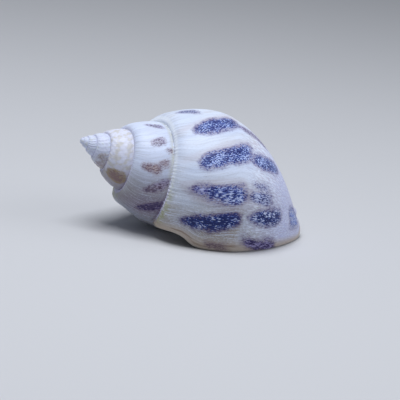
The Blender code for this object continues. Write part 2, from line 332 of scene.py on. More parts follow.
def nearest_share(share):
    """The share of the outline that lies nearest to this share of the whorl above, and how far it is."""
    here = np.array(outline(share)) / GROWTH
    gaps = np.hypot(*(OUTLINE - here).T)
    return SHARES[gaps.argmin()], gaps.min()


below_suture_shares = np.arange(SUTURE_SHARE, 0.6, 0.002)
CORNER_SHARE = next(share for share in below_suture_shares if nearest_share(share)[1] >= WALL)
CORNER_FOOT = nearest_share(CORNER_SHARE)[0]
print(f"corner of the opening at share {CORNER_SHARE:.4f}")


# %% The callus, and the floor that the shell lies on
CALLUS = 0.35 * MM
CALLUS_OUT = 80.0  # degrees over which the glaze fades, outside the opening and inside it
CALLUS_IN = 60.0


def glaze(angle, share):
    """How much callus lies on the skin: 1 beside the opening, fading all round."""
    ahead = angle - (LIP_START - 360)
    along = np.where(ahead > 0, smooth(1 - ahead / CALLUS_OUT), smooth(1 + ahead / CALLUS_IN))
    return along * smooth((share - SUTURE_SHARE) / (CORNER_SHARE - SUTURE_SHARE) / 2)


def glazed(angle, share):
    return on_surface(angle, share) + outwards(angle, share) * (CALLUS * glaze(angle, share))[..., None]


half_turn = np.arange(LIP_START - 360, LIP_START - 180, 2.0)
belly = glazed(*np.meshgrid(half_turn, np.arange(0, 1.001, 0.01)))
FLOOR = (belly @ DOWN).max()
print(f"the floor lies {FLOOR / MM:.3f} mm under the plain tip of the spire")

# %% The angle of the lip
SEARCH_BACK = 45.0  # degrees either way in which the floor's plane is looked for
SEARCH_AHEAD = 30.0
HALVINGS = 40


def flatness(share):
    """1 where the lip is flat, 0 where it is free."""
    begun = smooth(1 + (share - FLAT_FROM) / FLAT_FADE)
    return begun * smooth(1 + (FLAT_TO - share) / FLAT_FADE)


def lip_angle(share):
    """The angle of the lip, which stands in the floor's plane where it is flat."""
    share = np.asarray(share, float)
    free = curve_through(LIP_SHARES, LIP_ANGLES, share)
    low, high = free - SEARCH_BACK, free + SEARCH_AHEAD
    for _ in range(HALVINGS):
        middle = (low + high) / 2
        above = on_surface(middle, share) @ DOWN < FLOOR
        low, high = np.where(above, middle, low), np.where(above, high, middle)
    return mix(free, low, flatness(share))


print(f"angle of the lip at the suture below it: {lip_angle(SUTURE_SHARE):.2f} degrees")

# %% [markdown]
# ## Rows and columns
#
# The real shell shows its growth in hundreds of fine ridges that run from suture to suture, each the mark
# of an older lip. If the rows of the grid follow those marks, a ridge is just a row that stands a little
# higher. So the rows lean back as the lip does. The lean from one suture to the next is a whole number of
# rows, so the upper edge of each whorl still meets the lower edge of the whorl before, point on point.

# %% The rows of growth
ROWS_PER_TURN = 384
ROW_STEP = 360 / ROWS_PER_TURN
LEAN_ROWS = 16  # how far the growth lines lean back between the sutures
TURN_ROWS = ROWS_PER_TURN - LEAN_ROWS  # rows from a suture point to the same point seen from the next whorl
FIRST_ROW = -2300
SPREAD_ROWS = 76  # the rows before the lip that spread out to its shape
LEAN_SHARES = (0.0, 0.04, 0.12, 0.22, 0.3, 0.3612)
LEANS = (0.0, 0.01, 0.06, 0.4, 0.72, 1.0)  # of the whole lean, at these shares


def lean(share):
    """How far back a growth line has leaned at this share, in degrees."""
    reach = curve_through(LEAN_SHARES, LEANS, np.minimum(share, SUTURE_SHARE))
    return -LEAN_ROWS * ROW_STEP * np.minimum(reach, 1.0)


def row_angle(row, share):
    """The angle round the axis of a row at this share."""
    even = LIP_START + lean(share)
    spread = np.clip(1 + row / SPREAD_ROWS, 0, 1)
    return even + row * ROW_STEP + (lip_angle(share) - even) * spread


SPIRE_SHARES = np.array((0, 0.0028, 0.0065, 0.011, 0.017, 0.025, 0.036, 0.056, 0.078, 0.101, 0.125, 0.15,
                         0.175, 0.2, 0.225, 0.25, 0.274, 0.297, 0.318, 0.335, 0.349, SUTURE_SHARE))
RIM_SHARES = np.array((0.12, 0.3, 0.7, 0.88))  # of the way across the lip's rounded edge
BASE_COLUMNS = 20
print("rows:", -FIRST_ROW, "columns of the spire:", len(SPIRE_SHARES))

# %% Where the base gives way to the neck
NECK_SHARE = 0.7
NECK_GROWS_OVER = 170.0
NECK_FADES_OVER = 90.0


def neck_share(back):
    """The share at which the base passes into the neck, so many degrees back from the lip."""
    exposed = smooth(back / NECK_GROWS_OVER) * (1 - smooth((back - 360) / NECK_FADES_OVER))
    return mix(1.0, NECK_SHARE, exposed)


def base_shares(back):
    """The columns of the base at each row: from the suture past the cavity's corner to the neck."""
    back = np.asarray(back, float)[..., None]
    wall = mix(SUTURE_SHARE, CORNER_SHARE, np.concatenate([[0], RIM_SHARES]))
    rest = mix(CORNER_SHARE, neck_share(back), np.linspace(0, 1, BASE_COLUMNS + 1))
    return np.concatenate([np.broadcast_to(wall, rest.shape[:-1] + wall.shape), rest], -1)


print(f"the base reaches share {neck_share(200.0):.2f} on the far side of the lip")

# %% [markdown]
# ## Relief
#
# The skin isn't smooth. Fine threads follow the growth, broader rests show where it paused, the upper edge
# of each whorl is drawn up into little beads against the whorl before, and the older whorls carry soft ribs
# with rows of knobs on them. Below its upper edge a whorl is fuller than the plain outline, and the one
# before the last bulges on one side. All of it grows with the shell, so one height, in proportion to the
# whorl, serves every turn. The random numbers have a fixed seed, so the shell comes out the same each time.

# %% The height of the relief
ROWS = np.arange(FIRST_ROW, 1)
THREAD = 0.012 * MM
REST = 0.014 * MM
WELT = 0.085 * MM  # how proud the upper edge of a whorl stands
BEAD = 0.15 * MM
RIPPLE = 0.45 * BEAD  # below each bead
BEAD_ROWS = 4
SCALLOP = 0.0042  # of the outline, that the beads climb up the whorl before
SCALLOP_POWER = 12
RIB = 0.14 * MM
RIBS_PER_TURN = 24
KNOB = 0.15 * MM
KNOB_SHARE = 0.08  # of the outline, from one row of knobs to the next but one
SHOULDER = 0.44 * MM  # how much fuller a whorl is just below its upper edge than the plain outline
SHOULDER_FROM = 0.036  # the share by which it has risen
SWELL = 0.88 * MM  # how much fuller still the whorl before the last is at one side
FAINT_RIBS = (-700, 420)  # the angle where they begin, and the degrees over which they rise
FULL_RIBS = (-1150, 300)
KNOBS = (-520, 200)
WELT_FROM = 0.006
WELT_AT = (0.012, 0.011)  # the share of its middle, and its width
RIPPLE_AT = (0.035, 0.016)
SWELL_AT = (-262.0, 34.0)  # degrees
SHOULDER_DOWN = (0.03, 0.075)  # the share down to which it is full, and its fall below
SWELL_DOWN = (0.04, 0.08)
RIBS_IN, RIBS_OUT = 0.05, 0.06  # the shares over which the ribs rise from one suture and fade to the next
THREADS_IN, THREADS_OUT = 0.03, 0.2
THREADS_END = 1.05
print("ribs to a turn:", RIBS_PER_TURN, "beads to a turn:", TURN_ROWS // BEAD_ROWS)

# %% Random heights for the rows
luck = np.random.default_rng(11)


def wander(count, every):
    """Random heights about zero that change over so many rows."""
    knots = luck.normal(size=count // every + 3)
    x = np.arange(count) / every
    k = x.astype(int)
    return mix(knots[k], knots[k + 1], smooth(x - k))


threads = np.convolve(luck.normal(size=len(ROWS)), (0.3, 0.6, 0.3), "same") + 0.5 * wander(len(ROWS), 7)
rests = wander(len(ROWS), 23) + 0.5 * wander(len(ROWS), 11)
bead_strength = np.clip(0.75 + 0.35 * wander(len(ROWS), BEAD_ROWS * 2), 0.15, 1.4)
beads = (0.5 + 0.5 * np.cos(2 * np.pi * ROWS / BEAD_ROWS)) * bead_strength
print(f"mean relief of the threads: {np.abs(threads).mean() * THREAD / MM:.4f} mm")


# %% The relief at each point
def hump(value, middle, width):
    """1 where the value is the middle one, and almost nothing at twice the width from it."""
    return np.exp(-(((value - middle) / width) ** 2))


def hump_below(share, start, width):
    """1 down to the start, then falling away like a hump."""
    return hump(np.maximum(share, start), start, width)


def older_than(angle, start, rise):
    """0 on the whorls that grew after the start, 1 on those well before it."""
    return smooth((start - angle) / rise)


def ribs_and_knobs(angle, share):
    middle = smooth(share / RIBS_IN) * smooth((SUTURE_SHARE - share) / RIBS_OUT)
    ribs = np.cos(np.radians((angle - lean(share)) * RIBS_PER_TURN)) * middle
    rib_shown = 0.5 * older_than(angle, *FAINT_RIBS) + older_than(angle, *FULL_RIBS)
    knob_rows = np.cos(2 * np.pi * share / KNOB_SHARE) * older_than(angle, *KNOBS)
    return ribs * (RIB * rib_shown + KNOB * knob_rows)


def relief(row, angle, share):
    """The height of the skin above the plain outline, in metres."""
    k = row - FIRST_ROW
    threaded = smooth(share / THREADS_IN) * smooth((THREADS_END - share) / THREADS_OUT)
    height = (THREAD * threads + REST * rests)[k] * threaded
    full = SHOULDER * hump_below(share, *SHOULDER_DOWN)
    swollen = SWELL * hump(angle, *SWELL_AT) * hump_below(share, *SWELL_DOWN)
    height += (full + swollen) * smooth(share / SHOULDER_FROM)
    height += hump(share, *WELT_AT) * smooth(share / WELT_FROM) * (WELT + BEAD * beads[k])
    height += hump(share, *RIPPLE_AT) * RIPPLE * beads[k]
    return size(angle) * (height + ribs_and_knobs(angle, share))


print(f"shoulder of the last whorl: {relief(0, 60.0, 0.04) / MM:.2f} mm")

# %% [markdown]
# ## The sheets of the skin
#
# Each sheet is a grid primitive, wound up by moving its points. The first sheet is the spire, from the
# nucleus to the lip, between one suture and the next. The base of the last whorl is the second. A sheet
# keeps its shares and its ages, in turns, as a UV map, so that the paint can follow the growth lines. The
# oldest whorls are slimmer than the plain growth makes them, and are drawn in when a sheet is turned into
# the part's axes.

# %% Helpers: a grid, and its points set by rows and columns
def wound_sheet(name, places, shares, ages):
    """A grid primitive with a point for each row and column of places, and its UV map of share and age."""
    rows, columns = places.shape[:2]
    bpy.ops.mesh.primitive_grid_add(x_subdivisions=columns - 1, y_subdivisions=rows - 1, size=1)
    sheet = bpy.context.object
    sheet.name = name
    mesh = sheet.data
    mesh.vertices.foreach_set("co", places.reshape(-1).astype(np.float32))
    corner_points = np.empty(len(mesh.loops), np.int32)
    mesh.loops.foreach_get("vertex_index", corner_points)
    shares, ages = (np.broadcast_to(value, (rows, columns)) for value in (shares, ages))
    uv = np.stack([shares, ages], -1).reshape(-1, 2)
    mesh.uv_layers[0].name = "growth"
    mesh.uv_layers["growth"].uv.foreach_set("vector", uv[corner_points].reshape(-1).astype(np.float32))
    mesh.update()
    return sheet


def keep_values(sheet, **values):
    """Stores a number for each point of the sheet, which the paint reads by name."""
    for name, value in values.items():
        layer = sheet.data.attributes.new(name, "FLOAT", "POINT")
        layer.data.foreach_set("value", np.asarray(value, np.float32).reshape(-1))


print("helpers for the sheets are ready")

# %% From the growth's axes to the part's own
ALONG = unit(np.array((0.0, 0.0, 1.0)) - DOWN * DOWN[2])
PART_TURN = np.stack([ALONG, np.cross(-DOWN, ALONG), -DOWN])
ORIGIN = np.array((16.6969, -1.3619, -12.2908)) * MM
OLDEST_DROP = 7.0 * MM  # below the tip of the spire
OLDEST_WIDTH = 0.93
TIP_SHIFT = np.array((0.1, 0.0, 0.17)) * MM


def in_part(places):
    """The same places in the part's axes, where the oldest whorls are slimmer and the tip stands higher."""
    grown = smooth(places[..., 2:] / OLDEST_DROP)
    slimmed = places * np.concatenate([mix(OLDEST_WIDTH, 1, grown)] * 2 + [np.ones_like(grown)], -1)
    return slimmed @ PART_TURN.T - ORIGIN + TIP_SHIFT * (1 - grown)


print("down in the growth's axes:", [round(float(v), 3) for v in DOWN])

# %% The spire
spire_row = ROWS[:, None]
scallop = np.where(spire_row > -TURN_ROWS, 0.0, SCALLOP * beads[:, None])
spire_share = SPIRE_SHARES - scallop * (SPIRE_SHARES / SUTURE_SHARE) ** SCALLOP_POWER
spire_angle = row_angle(spire_row, spire_share)
spire_height = relief(spire_row, spire_angle, spire_share)
spire_places = on_surface(spire_angle, spire_share)
spire_places += outwards(spire_angle, spire_share) * spire_height[..., None]
spire_places[TURN_ROWS:, 0] = spire_places[:-TURN_ROWS, -1]
spire_ages = (LIP_START + spire_row * ROW_STEP) / 360
print("spire:", spire_places.shape[0], "rows of", spire_places.shape[1], "points")

# %% The base of the last whorl
RELIEF_FADE = 0.1  # of the outline, above the neck
base_row = np.arange(-TURN_ROWS, 1)[:, None]
base_back = -base_row[:, 0] * 360 / TURN_ROWS
base_share = base_shares(base_back)
base_angle = row_angle(base_row, base_share)
base_glaze = glaze(base_angle, base_share)
base_height = relief(base_row, base_angle, base_share) * (1 - base_glaze)
base_height *= smooth((neck_share(base_back)[:, None] - base_share) / RELIEF_FADE)
base_places = glazed(base_angle, base_share) + outwards(base_angle, base_share) * base_height[..., None]
base_places[:, 0] = spire_places[-TURN_ROWS - 1 :, -1]
base_ages = spire_ages[-TURN_ROWS - 1 :]
print("base:", base_places.shape[0], "rows of", base_places.shape[1], "points")

# %% [markdown]
# ## The cavity and the pillar
#
# Inside, the tube's outer wall lies one wall's thickness under the skin; the pillar and the whorl before
# close the ring. The rings are coarser than the skin, because the inside is smooth and little of it is seen.

# %% Rings of the cavity
CAVITY_STEP = 3.75  # degrees
CAVITY_RINGS = 170
PILLAR_COLUMNS = 8
CAVITY_SPREAD = 120.0  # the rings spread out to the lip's shape over so many degrees
NECK_SLACK = 0.42  # how far a handle of the neck's curve reaches, of the way to its end
NECK_NEARBY = 0.01  # a step of the share, as NEARBY is
LEAST_SLOPE = 0.05  # keeps a handle from running past its end
LONGEST_HANDLE = 0.7


def cavity_angle(back, share):
    spread = np.clip(1 - back / CAVITY_SPREAD, 0, 1)
    return LIP_START - back + (lip_angle(share) - LIP_START) * spread


def wall_at(back):
    thin = mix(1.0, LIP_WALL, smooth(1 - back / LIP_THINS_OVER))
    return WALL * thin * size(LIP_START - back)


def half_plane(places):
    return np.stack([np.hypot(places[..., 0], places[..., 1]), places[..., 2]], -1)


def neck_handle(head, end, share):
    """The Bezier handle that carries the base's outline on towards the end of the pillar."""
    step = unit(np.stack(outline(share + NECK_NEARBY), -1) - np.stack(outline(share - NECK_NEARBY), -1))
    longest = np.maximum(0, head[..., 0] - end[..., 0]) / np.maximum(-step[..., 0], LEAST_SLOPE)
    reach = np.minimum(NECK_SLACK * np.linalg.norm(end - head, axis=-1), LONGEST_HANDLE * longest)
    return head + step * reach[..., None]


back = (np.arange(CAVITY_RINGS, -1, -1) * CAVITY_STEP)[:, None]
outer_shares = np.concatenate([SPIRE_SHARES, base_shares(0.0)[1:]])
inner_shares = mix(CORNER_FOOT, 1.0, outer_shares)[None, :]
inner_angle = cavity_angle(back, inner_shares)
inner_wall = on_surface(inner_angle, inner_shares)
inner_wall -= outwards(inner_angle, inner_shares) * wall_at(back)[..., None]
print("rings of the cavity:", len(back), "points on the wall:", inner_wall.shape[1])

# %% The mouth's inner edge, set in from the outer one
def on_lip(share):
    return on_surface(lip_angle(share), share)


lip_shares = inner_shares[0]
along_lip = on_lip(lip_shares + NEARBY) - on_lip(lip_shares - NEARBY)
out_of_mouth = unit(growth_way(lip_angle(lip_shares), lip_shares))
facing = unit(mix(out_of_mouth, DOWN, flatness(lip_shares)[:, None]))
inner_wall[-1] = on_lip(lip_shares) + unit(np.cross(along_lip, facing)) * wall_at(0.0)
print(f"thickness of the lip: {wall_at(0.0) / MM:.2f} mm")

# %% The whorl before, seen from inside, and the pillar
inside_back = back[:, 0] + 360
inside_shares = base_shares(inside_back)[:, len(RIM_SHARES) + 1 :]
parietal = glazed(LIP_START - inside_back[:, None], inside_shares)
parietal[-1] = base_places[0, len(RIM_SHARES) + 1 :]
inner_wall[:, 0] = parietal[:, 0]

head = half_plane(parietal[:, -1])
foot = half_plane(inner_wall[:, -1])
reach = NECK_SLACK * (foot[:, 1] - head[:, 1]) / foot[:, 1]
above_foot = foot * (1 - reach[:, None])
head_handle = neck_handle(head, foot, neck_share(inside_back))
up_pillar = np.arange(1, PILLAR_COLUMNS) / PILLAR_COLUMNS
pillar_curve = np.stack([head, head_handle, above_foot, foot])
pillar_half = bezier(*pillar_curve[:, :, None], 1 - up_pillar)
pillar_angle = mix(cavity_angle(back, np.array([1.0])), LIP_START - back, up_pillar)
pillar = about_axis(pillar_angle, pillar_half[..., 0], pillar_half[..., 1])
cavity_places = np.concatenate([inner_wall, pillar, parietal[:, ::-1]], 1)
print("points round the cavity:", cavity_places.shape[1])

# %% The far end of the cavity is closed with a dome
END_RINGS = 4
END_TURN = 9.0  # degrees further back that the dome reaches
last_ring = cavity_places[0]
end_cap = []
for turn in np.radians(np.linspace(90, 0, END_RINGS, endpoint=False)):
    ring = mix(last_ring.mean(0), last_ring, cos(turn))
    back_by = -END_TURN * sin(turn)
    ring_turns = np.degrees(np.arctan2(ring[:, 1], ring[:, 0])) + back_by
    turned = about_axis(ring_turns, np.hypot(ring[:, 0], ring[:, 1]), ring[:, 2])
    end_cap.append(turned * GROWTH ** (back_by / 360))
cavity_places = np.concatenate([np.stack(end_cap), cavity_places])
back = np.concatenate([np.full((END_RINGS, 1), back[0, 0]), back])
print("rings of the cavity with its end:", len(cavity_places))

# %% [markdown]
# ## The lip's edge, the neck and the nucleus
#
# Three small sheets close the skin: a rounded edge between the outside and the inside of the lip, a neck
# that draws the base in to the pillar's rounded end, and a dome over the first turn.

# %% The rounded edge of the lip
ROUNDING = 0.09 * MM
RIM_DROPS = (0.28, 0, 0, 0.28)  # of the rounding, at each of the shares across the wall
EASE_POINTS = 6  # over which the rounding begins beside the suture
outer_edge = np.concatenate([spire_places[-1], base_places[-1, 1:]])
inner_edge = inner_wall[-1].copy()
turned_in = facing * ROUNDING * smooth(np.arange(len(outer_edge)) / EASE_POINTS)[:, None]
rim = [mix(outer_edge, inner_edge, share) - turned_in * drop for share, drop in zip(RIM_SHARES, RIM_DROPS)]
rim = np.stack([outer_edge - turned_in, *rim, inner_edge - turned_in])
rim[:, 0] = base_places[0, : len(RIM_SHARES) + 2]
spire_places[-1] = rim[0, : len(SPIRE_SHARES)]
base_places[-1] = rim[0, len(SPIRE_SHARES) - 1 :]
cavity_places[-1, : rim.shape[1]] = rim[-1]
print("points along the lip:", rim.shape[1])

# %% Where the neck starts, and which way
TIP = 34.3 * MM  # below the tip of the spire
TIP_RADIUS = 0.95 * MM
NECK_RADIUS = 1.95 * MM
neck_end = np.array((NECK_RADIUS, TIP))
base_edge, rim_edge, pillar_edge = base_places[:, -1], rim[1:, -1], pillar[-1]
base_handles = neck_handle(half_plane(base_edge), neck_end, neck_share(base_back))
rim_handles = neck_handle(half_plane(rim_edge), neck_end, np.ones(len(rim_edge)))
mouth_curve = pillar_curve[:, -1]
ahead = bezier(*mouth_curve, 1 - up_pillar + NECK_NEARBY) - bezier(*mouth_curve, 1 - up_pillar - NECK_NEARBY)
pillar_heads = half_plane(pillar_edge)
pillar_reach = NECK_SLACK * np.linalg.norm(neck_end - pillar_heads, axis=-1)
pillar_handles = pillar_heads + unit(ahead) * pillar_reach[:, None]
print("handles of the base:", len(base_handles), "and of the pillar:", len(pillar_handles))

# %% The rings of the neck
TIP_ROUNDING = 0.25 * MM
NECK_RINGS = 12
TIP_RINGS = 4
neck_edge = np.concatenate([base_edge, rim_edge, pillar_edge, base_edge[:1]])
neck_heads = half_plane(neck_edge)
neck_handles = np.concatenate([base_handles, rim_handles, pillar_handles, base_handles[:1]])
turns = np.degrees(np.arctan2(neck_edge[:, 1], neck_edge[:, 0]))
first_turn = turns[0]
turns = (turns - first_turn + 0.5) % 360 - 0.5
turns[-1] = 360.0
even_turns = np.linspace(0, 360, len(neck_edge))
above_tip = np.full(neck_heads.shape, NECK_RADIUS)
above_tip[:, 1] = TIP - NECK_SLACK * (TIP - neck_heads[:, 1])
tip_end = np.array((TIP_RADIUS, TIP))
neck = [neck_edge]
for step in np.arange(1, NECK_RINGS + 1) / NECK_RINGS:
    half = bezier(neck_heads, neck_handles, above_tip, tip_end, step)
    neck.append(about_axis(first_turn + mix(turns, even_turns, step), half[:, 0], half[:, 1]))
for step in np.radians(np.arange(1, TIP_RINGS + 1) / TIP_RINGS * 90):
    drop = TIP + TIP_ROUNDING * sin(step)
    neck.append(about_axis(first_turn + even_turns, TIP_RADIUS * cos(step), drop))
neck_places = np.stack(neck)
print("rings of the neck:", len(neck_places), "of", neck_places.shape[1], "points")

# %% The dome over the first turn
DOME_RINGS = 5
DOME_HEIGHT = 0.6  # the dome's top, of the drop of its edge below the plain tip
first_edge = np.concatenate([spire_places[: TURN_ROWS + 1, 0], spire_places[0, -2::-1]])
dome_drop = first_edge[:, 2].mean() * DOME_HEIGHT
dome = []
for step in np.radians(np.arange(0, DOME_RINGS + 1) / DOME_RINGS * 90):
    ring = first_edge * cos(step)
    ring[:, 2] = mix(first_edge[:, 2], dome_drop, sin(step))
    dome.append(ring)
dome_places = np.stack(dome)
print(f"drop of the nucleus: {dome_drop / MM:.3f} mm")

# %% [markdown]
# ## The painted pattern
#
# The dark blotches stand in spiral rows, each drawn out along the growth lines as the animal laid down
# pigment for a while and then stopped. They are placed on the side that is known, as the angle and share
# of both ends and a width, and run on round the shell at about the same spacing. Each point of the skin
# then gets a number for how deep it lies inside a blotch, and the paint frays that edge later. Older
# blotches are browner and fainter, and the ground beside a blotch is a little warmer or colder.

# %% Blotches by angle and share
# (upper angle, upper share, lower angle, lower share, half width in degrees, depth of colour, warmth,
#  then the tint of the ground before the blotch and after it, from -1, warm, to 1, cold)
BLOTCHES = [
    (-82, 0.105, -76, 0.2, 5.0, 0.7, 0.2, 0.0, 0.4),
    (-46, 0.126, -61.5, 0.385, 7.6, 1.0, 0.0, -0.9, 0.8),
    (-58, 0.4, -56, 0.6, 4.6, 0.62, 0.45, 0.2, 0.2),
    (-15.5, 0.15, -34, 0.42, 7.2, 0.97, 0.0, -0.9, 0.7),
    (-29, 0.44, -36, 0.65, 7.0, 0.97, 0.0, 0.3, 0.5),
    (6, 0.122, 3, 0.245, 3.5, 0.94, 0.3, -0.9, -0.7),
    (5.3, 0.195, -0.7, 0.4, 7.0, 0.94, 0.1, -0.8, -1.0),
    (-9.5, 0.436, -11.5, 0.54, 3.6, 0.62, 0.22, 0.4, 0.3),
    (-3, 0.43, -5, 0.57, 4.6, 0.84, 0.18, 0.0, 0.3),
    (34, 0.126, 14, 0.391, 6.1, 1.0, 0.0, 0.1, -0.3),
    (11, 0.447, 6, 0.658, 6.7, 1.0, 0.0, 0.1, 1.0),
    (28, 0.434, 31, 0.648, 4.8, 1.0, 0.42, 0.2, -0.3),
    (4, 0.755, 4, 0.895, 13.0, 0.74, -0.5, 0.6, 0.6),
    (40, 0.285, 36, 0.365, 1.9, 0.62, 1.0, -0.8, -0.6),
    (-390, 0.165, -397, 0.285, 6.0, 0.62, 0.7, -0.3, 0.5),
    (-355, 0.11, -359, 0.27, 6.3, 0.76, 0.88, -0.3, 0.4),
    (-364, 0.235, -369, 0.325, 4.8, 0.62, 1.0, -0.3, 0.4),
    (-384, 0.3, -385, 0.35, 2.6, 0.7, 0.9, 0.0, 0.0),
    (-328, 0.168, -348, 0.356, 5.7, 0.66, 0.72, 0.4, -0.7),
    (-299, 0.185, -321, 0.358, 8.2, 0.74, 0.55, -0.7, -1.0),
    (-429, 0.15, -423, 0.3, 4.8, 0.56, 0.6, 0.0, 0.3),
    (-666, 0.075, -677, 0.33, 15.0, 0.8, 1.25, -0.6, -0.9),
    (-1026, 0.1, -1034, 0.39, 34.0, 0.36, 1.25, -0.3, -0.5),
]
print("blotches placed by hand:", len(BLOTCHES))

# %% The rows of blotches that go on round the shell
# (first angle, last angle, upper share, lower share, half width in degrees, warmth)
HIDDEN_STARTS = ((-112, -262, 0.13, 0.41, 6.3, 0.0), (-86, -285, 0.45, 0.65, 5.4, 0.0),
                 (-40, -280, 0.78, 0.86, 4.5, 0.1))
SPIRE_STARTS = ((-465, -640, 0.14, 0.31, 4.8, 0.8), (-835, -1000, 0.13, 0.3, 7.0, 1.2))
BLOTCH_SPACING = 29.0  # degrees
HIDDEN_TINTS = (-0.7, 0.6)
UPPER_SLANT = 22 / 0.3  # degrees from end to end for each unit of share
LOWER_SLANT = 4  # degrees, for a blotch of the lower rows
for start, end, top, bottom, width, warmth in HIDDEN_STARTS + SPIRE_STARTS:
    at = start
    while at > end:
        slant = UPPER_SLANT * (bottom - top) if bottom < 0.5 else LOWER_SLANT
        here = at + luck.uniform(-4, 4)
        low, high = top + luck.uniform(-0.015, 0.02), bottom + luck.uniform(-0.02, 0.015)
        wide = width * luck.uniform(0.75, 1.1)
        ends = (here + slant / 2, low, here - slant / 2, high)
        BLOTCHES.append((*ends, wide, luck.uniform(0.65, 1.0), warmth, *HIDDEN_TINTS))
        at -= BLOTCH_SPACING * luck.uniform(0.85, 1.15)
print("blotches in all:", len(BLOTCHES))

# %% How deep each point lies in a blotch
PAINT_SLOPE = 2.3 * MM  # from bare ground to full depth
SQUARENESS = 3.0
UPPER_WIDTH = 0.8  # a blotch widens towards its lower end
LOWER_WIDTH = 1.08
TINT_REACH = 2.6  # how many times as wide as the blotch its tint of the ground is
TINT_TURN = 0.6  # how soon the tint before a blotch gives way to the one after it
TINY = 1e-6


def painted(angle, share):
    """Each point's depth in the nearest blotch (0.5 at its edge), that blotch's colours, and the tint."""
    paint = np.zeros(np.broadcast(angle, share).shape)
    depth, warmth, tint = paint.copy(), paint.copy(), paint.copy()
    radius = outline(share)[0]
    for top_angle, top, low_angle, bottom, width, strength, warm, before, after in BLOTCHES:
        down = (share - top) / (bottom - top)
        centre = mix(top_angle, low_angle, down)
        across = (angle - centre) / (width * mix(UPPER_WIDTH, LOWER_WIDTH, np.clip(down, 0, 1)))
        along = np.abs(2 * down - 1)
        reach = (np.abs(across) ** SQUARENESS + along**SQUARENESS) ** (1 / SQUARENESS) + TINY
        half_width, half_length = np.radians(width) * radius, (bottom - top) / 2 * OUTLINE_LENGTH
        half_size = mix(half_width, half_length, (along / reach) ** SQUARENESS)
        inside = np.clip(0.5 - (reach - 1) * half_size / PAINT_SLOPE, 0, 1)
        nearer = inside > paint
        depth, warmth = np.where(nearer, strength, depth), np.where(nearer, warm, warmth)
        paint = np.where(nearer, inside, paint)
        halo = smooth((TINT_REACH - reach) / (TINT_REACH - 1))
        tint += halo * mix(before, after, smooth(0.5 + across * TINT_TURN))
    return paint, depth, warmth, tint


print("blotches reach", PAINT_SLOPE / MM / 2, "mm beyond their edges")

# %% The values that the paint reads
RIM_ROWS = 24  # the last rows before the lip, whose paint differs
CREASE_FROM = 0.315
CREASE_FADE = 0.046
BEAD_TOPS_AT = (0.009, 0.014)


def skin_values(row, angle, share, glaze_here):
    """What the paint reads at each point: pattern, glaze, lip, the suture's crease (cream band, painted
    shade), bead tops.
    """
    paint, depth, warmth, tint = painted(angle, share)
    crease = np.where(row <= -TURN_ROWS, smooth((share - CREASE_FROM) / CREASE_FADE), 0.0)
    rim = np.clip(1 + row / RIM_ROWS, 0, 1) + 0 * share
    bead = beads[row - FIRST_ROW] * hump(share, *BEAD_TOPS_AT)
    return {"paint": paint, "depth": depth, "warmth": warmth, "tint": tint, "glaze": glaze_here,
            "rim": rim, "crease": crease, "bead": bead}


spire_values = skin_values(spire_row, spire_angle, spire_share, np.zeros(spire_share.shape))
base_values = skin_values(base_row, base_angle, base_share, base_glaze)
print(f"share of the spire in blotches: {(spire_values['paint'] > 0.5).mean():.3f}")

# %% [markdown]
# ## The glaze
#
# One material paints the outside, and a second the mouth. Both show the growth lines, so those are a node
# group that each material places with its own values. The pattern reads the growth map, in which one way
# runs from suture to suture and the other along the growth, so a line follows the shell wherever it bends.
# Some tints are painted shade and light: the skin darkens towards the floor, in the suture's crease and deep
# in the mouth, and is paler on some upper sides.

# %% Helpers for the paint
MM_ALONG = OUTLINE_LENGTH / MM
MM_ACROSS = 150.0  # so that a millimetre across the growth lines is about a millimetre of skin


def growth_map():
    """The skin in its real millimetres, x along a growth line and y across it; the share; and the age."""
    uv = node("ShaderNodeUVMap", uv_map="growth").outputs[0]
    share, age = node("ShaderNodeSeparateXYZ", {0: uv}).outputs[:2]
    grown = maths("POWER", GROWTH, minus(age, FULL_SIZE_ANGLE / 360))
    in_mm = {0: times(share, MM_ALONG, grown), 1: times(grown, MM_ACROSS)}
    return node("ShaderNodeCombineXYZ", in_mm).outputs[0], share, age


def noise(place, along, across, detail=2.0, roughness=0.5):
    """Noise with so many grains to the millimetre along a growth line and across it."""
    stretched = node("ShaderNodeMapping", {"Vector": place, "Scale": (along, across, 1.0)})
    grains = {"Vector": stretched.outputs[0], "Scale": 1.0, "Detail": detail, "Roughness": roughness}
    return node("ShaderNodeTexNoise", grains).outputs[0]


def attribute(name):
    return node("ShaderNodeAttribute", attribute_name=name).outputs["Fac"]


def fill_surface(colour, roughness, height, strength, depth):
    """Gives the surface its colour, its gloss and its fine relief, which is so many mm deep."""
    bump = node("ShaderNodeBump", {"Height": height, "Strength": strength, "Distance": depth * MM})
    paint = {"Base Color": colour, "Roughness": roughness, "Normal": bump.outputs[0]}
    return fill(tree.nodes["Principled BSDF"], paint)


print(f"length of a growth line: {MM_ALONG:.1f} mm")

# %% The growth lines, as a group
lines_group = bpy.data.node_groups.new("growth lines", "ShaderNodeTree")
for name, way, kind in (
    ("Map", "INPUT", "NodeSocketVector"),
    ("Fineness", "INPUT", "NodeSocketFloat"),
    ("Lines", "OUTPUT", "NodeSocketFloat"),
    ("Bands", "OUTPUT", "NodeSocketFloat"),
):
    lines_group.interface.new_socket(name, in_out=way, socket_type=kind)
tree = lines_group
given = node("NodeGroupInput").outputs
finer = node("ShaderNodeVectorMath", {0: given[0], "Scale": given[1]}, operation="SCALE").outputs[0]
node("NodeGroupOutput", {0: noise(finer, 0.24, 4.4, 3.0, 0.7), 1: noise(finer, 0.1, 0.7)})
print("group:", lines_group.name)


def growth_lines(place, fineness):
    """The fine lines and the broad bands of the growth."""
    made = node("ShaderNodeGroup", {"Map": place, "Fineness": fineness}, node_tree=lines_group)
    return made.outputs["Lines"], made.outputs["Bands"]


